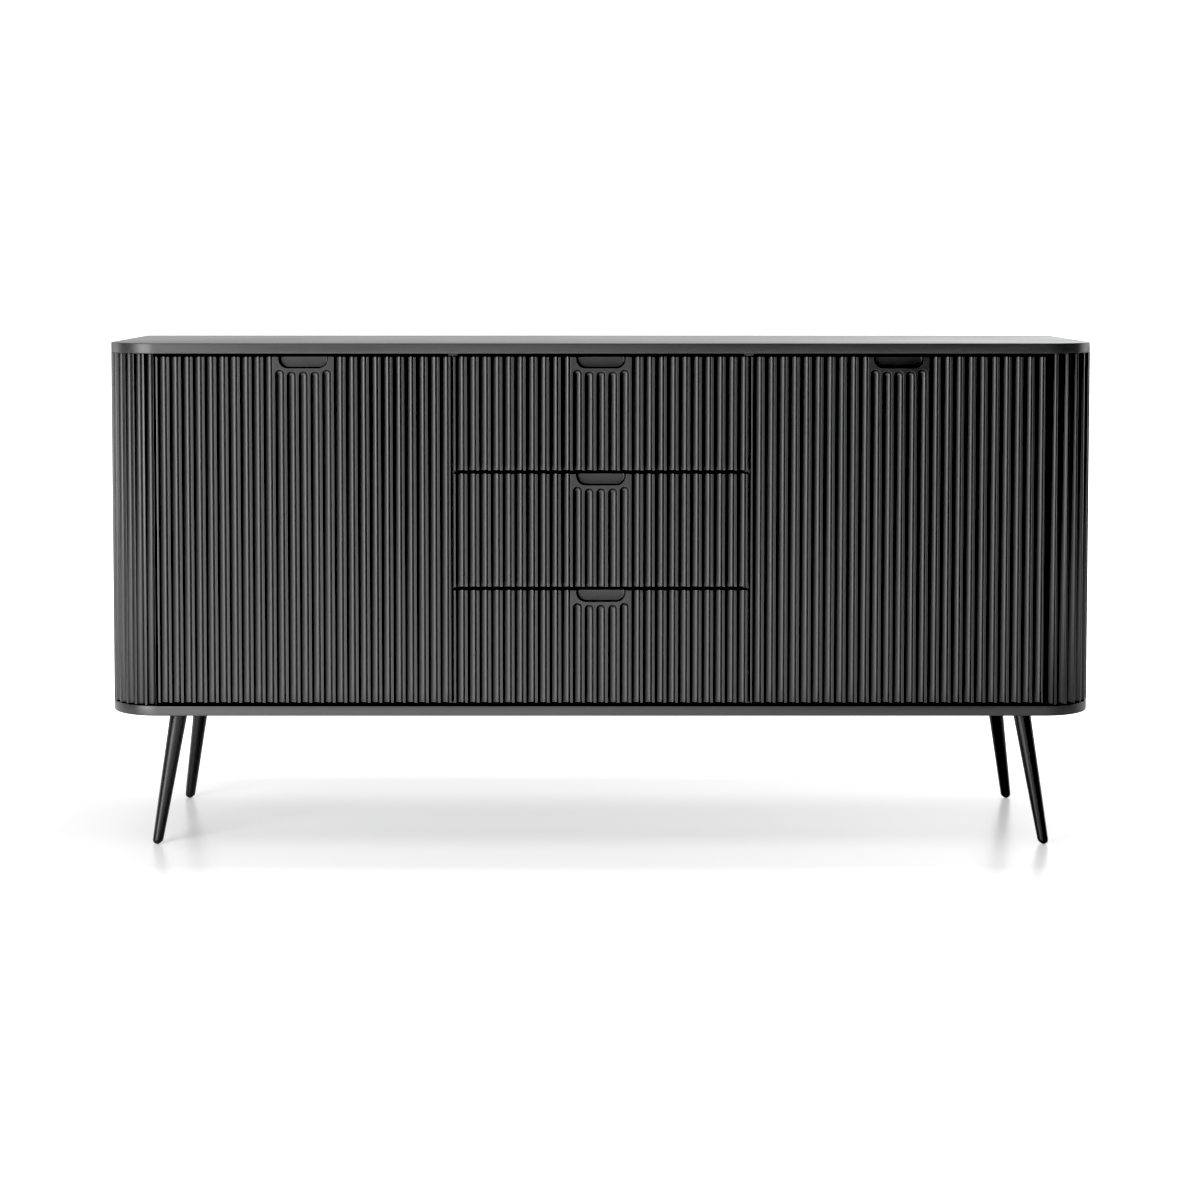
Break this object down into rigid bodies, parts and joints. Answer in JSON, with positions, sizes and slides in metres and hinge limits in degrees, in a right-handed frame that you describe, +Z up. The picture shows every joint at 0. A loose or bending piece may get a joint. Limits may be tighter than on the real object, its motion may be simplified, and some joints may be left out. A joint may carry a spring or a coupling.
{
  "type": "sideboard",
  "caption": "Low sideboard with fluted fronts and rounded front corners: a door at each end, drawers between, finger scoops and splayed tapered legs.",
  "frame": {"origin": "on the floor, under the middle of the case", "axes": "+X to the right seen from the front, +Y from the front to the back, +Z up"},
  "size_m": [1.54, 0.4, 0.79],
  "materials": {
    "front_lacquer": "satin black lacquer on fluted board",
    "case_board": "satin black stained veneer with a fine grain along the length",
    "inner_board": "matt black faced board",
    "back_board": "matt black hardboard",
    "leg_lacquer": "satin black lacquered solid wood",
    "zinc_steel": "zinc-plated pressed steel",
    "nylon": "matt black nylon"
  },
  "bodies": {
    "carcass": {"top_panel": "case_board", "bottom_panel": "case_board", "back_panel": "back_board", "fluted_side_left": "front_lacquer", "gable_left": "inner_board", "divider_left": "inner_board", "shelf_left": "inner_board", "hinge_arm_left_lower": "zinc_steel", "hinge_arm_left_upper": "zinc_steel", "fluted_side_right": "front_lacquer", "gable_right": "inner_board", "divider_right": "inner_board", "shelf_right": "inner_board", "hinge_arm_right_lower": "zinc_steel", "hinge_arm_right_upper": "zinc_steel", "leg_front_left": "leg_lacquer", "leg_plate_front_left": "zinc_steel", "leg_glide_front_left": "nylon", "leg_front_right": "leg_lacquer", "leg_plate_front_right": "zinc_steel", "leg_glide_front_right": "nylon", "leg_back_left": "leg_lacquer", "leg_plate_back_left": "zinc_steel", "leg_glide_back_left": "nylon", "leg_back_right": "leg_lacquer", "leg_plate_back_right": "zinc_steel", "leg_glide_back_right": "nylon", "runner_outer_bottom_left": "zinc_steel", "runner_outer_bottom_right": "zinc_steel", "runner_outer_middle_left": "zinc_steel", "runner_outer_middle_right": "zinc_steel", "runner_outer_top_left": "zinc_steel", "runner_outer_top_right": "zinc_steel"},
    "door_left": {"door_left": "front_lacquer", "hinge_cup_left_lower": "zinc_steel", "hinge_cup_left_upper": "zinc_steel"},
    "door_right": {"door_right": "front_lacquer", "hinge_cup_right_lower": "zinc_steel", "hinge_cup_right_upper": "zinc_steel"},
    "drawer_bottom": {"drawer_bottom_front": "front_lacquer", "drawer_bottom_side_left": "inner_board", "drawer_bottom_side_right": "inner_board", "drawer_bottom_back": "inner_board", "drawer_bottom_bottom": "inner_board", "runner_inner_bottom_left": "zinc_steel", "runner_inner_bottom_right": "zinc_steel"},
    "drawer_middle": {"drawer_middle_front": "front_lacquer", "drawer_middle_side_left": "inner_board", "drawer_middle_side_right": "inner_board", "drawer_middle_back": "inner_board", "drawer_middle_bottom": "inner_board", "runner_inner_middle_left": "zinc_steel", "runner_inner_middle_right": "zinc_steel"},
    "drawer_top": {"drawer_top_front": "front_lacquer", "drawer_top_side_left": "inner_board", "drawer_top_side_right": "inner_board", "drawer_top_back": "inner_board", "drawer_top_bottom": "inner_board", "runner_inner_top_left": "zinc_steel", "runner_inner_top_right": "zinc_steel"}
  },
  "joints": [
    {"name": "door_left_hinge", "type": "hinge", "parent": "carcass", "child": "door_left", "pos_m": [-0.684, -0.2015, 0.5], "axis": [0, 0, -1], "range_deg": [0, 100]},
    {"name": "door_right_hinge", "type": "hinge", "parent": "carcass", "child": "door_right", "pos_m": [0.684, -0.2015, 0.5], "axis": [0, 0, 1], "range_deg": [0, 100]},
    {"name": "drawer_bottom_slide", "type": "slide", "parent": "carcass", "child": "drawer_bottom", "axis": [0, -1, 0], "range_m": [0, 0.26]},
    {"name": "drawer_middle_slide", "type": "slide", "parent": "carcass", "child": "drawer_middle", "axis": [0, -1, 0], "range_m": [0, 0.26]},
    {"name": "drawer_top_slide", "type": "slide", "parent": "carcass", "child": "drawer_top", "axis": [0, -1, 0], "range_m": [0, 0.26]}
  ]
}
